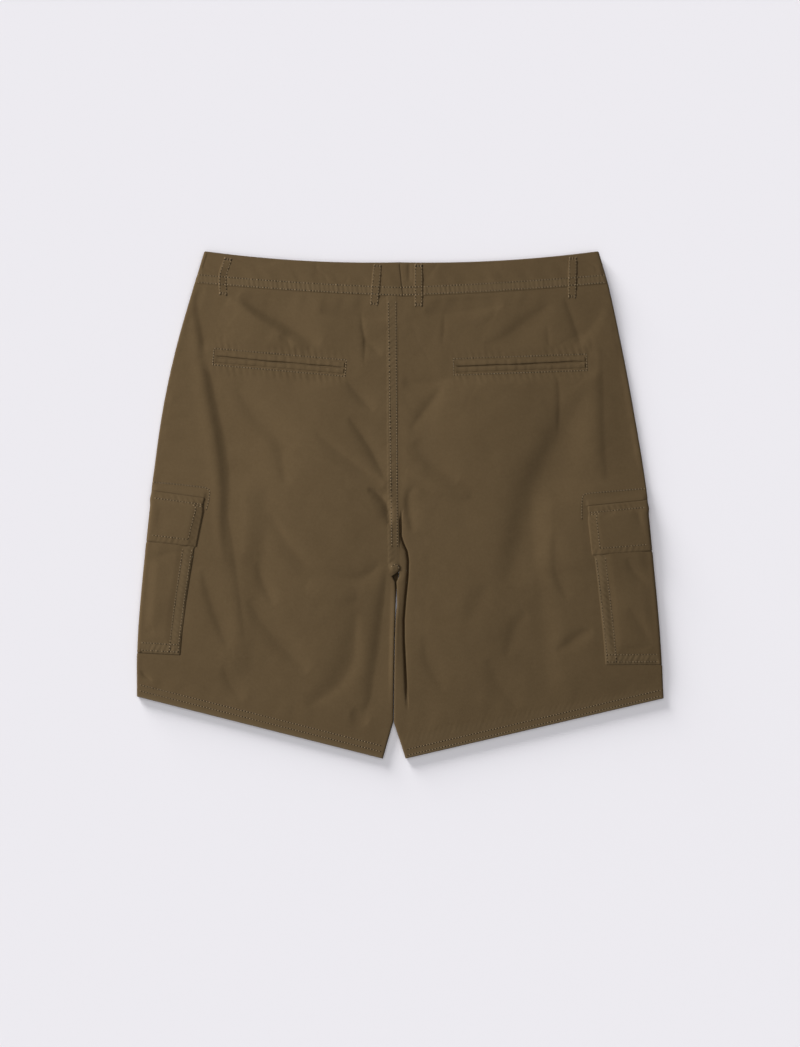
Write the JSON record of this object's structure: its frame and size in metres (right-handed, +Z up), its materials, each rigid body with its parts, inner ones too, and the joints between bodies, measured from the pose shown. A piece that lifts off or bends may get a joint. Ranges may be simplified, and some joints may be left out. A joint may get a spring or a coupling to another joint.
{
  "type": "cargo shorts",
  "caption": "Cotton twill cargo shorts laid flat with the back up, with jetted back pockets, flapped cargo pockets round the sides and belt loops on the waistband.",
  "frame": {"origin": "middle of the outline at the height of the surface that the shorts lie on", "axes": "+Z up out of the back, +Y from the hems to the waist, +X to the right as seen from above"},
  "size_m": [0.5533, 0.5318, 0.0118],
  "materials": {
    "twill": "matt cotton twill in khaki brown",
    "thread": "matt sewing thread, a shade lighter than the cloth",
    "zip": "woven zip tape",
    "button": "dull dark brown"
  },
  "bodies": {
    "root": {"back_left": "twill", "back_right": "twill", "front_left": "twill", "front_right": "twill", "waistband_left": "twill", "waistband_right": "twill", "cargo_pocket_left": "twill", "cargo_pocket_right": "twill", "cargo_flap_left": "twill", "cargo_flap_right": "twill", "welt_left_upper": "twill", "welt_left_lower": "twill", "welt_right_upper": "twill", "welt_right_lower": "twill", "belt_loop_back_left_side": "twill", "belt_loop_back_left_centre": "twill", "belt_loop_back_right_centre": "twill", "belt_loop_back_right_side": "twill", "belt_loop_front_left": "twill", "belt_loop_front_right": "twill", "fly_zip": "zip", "waist_button": "button"}
  },
  "joints": []
}
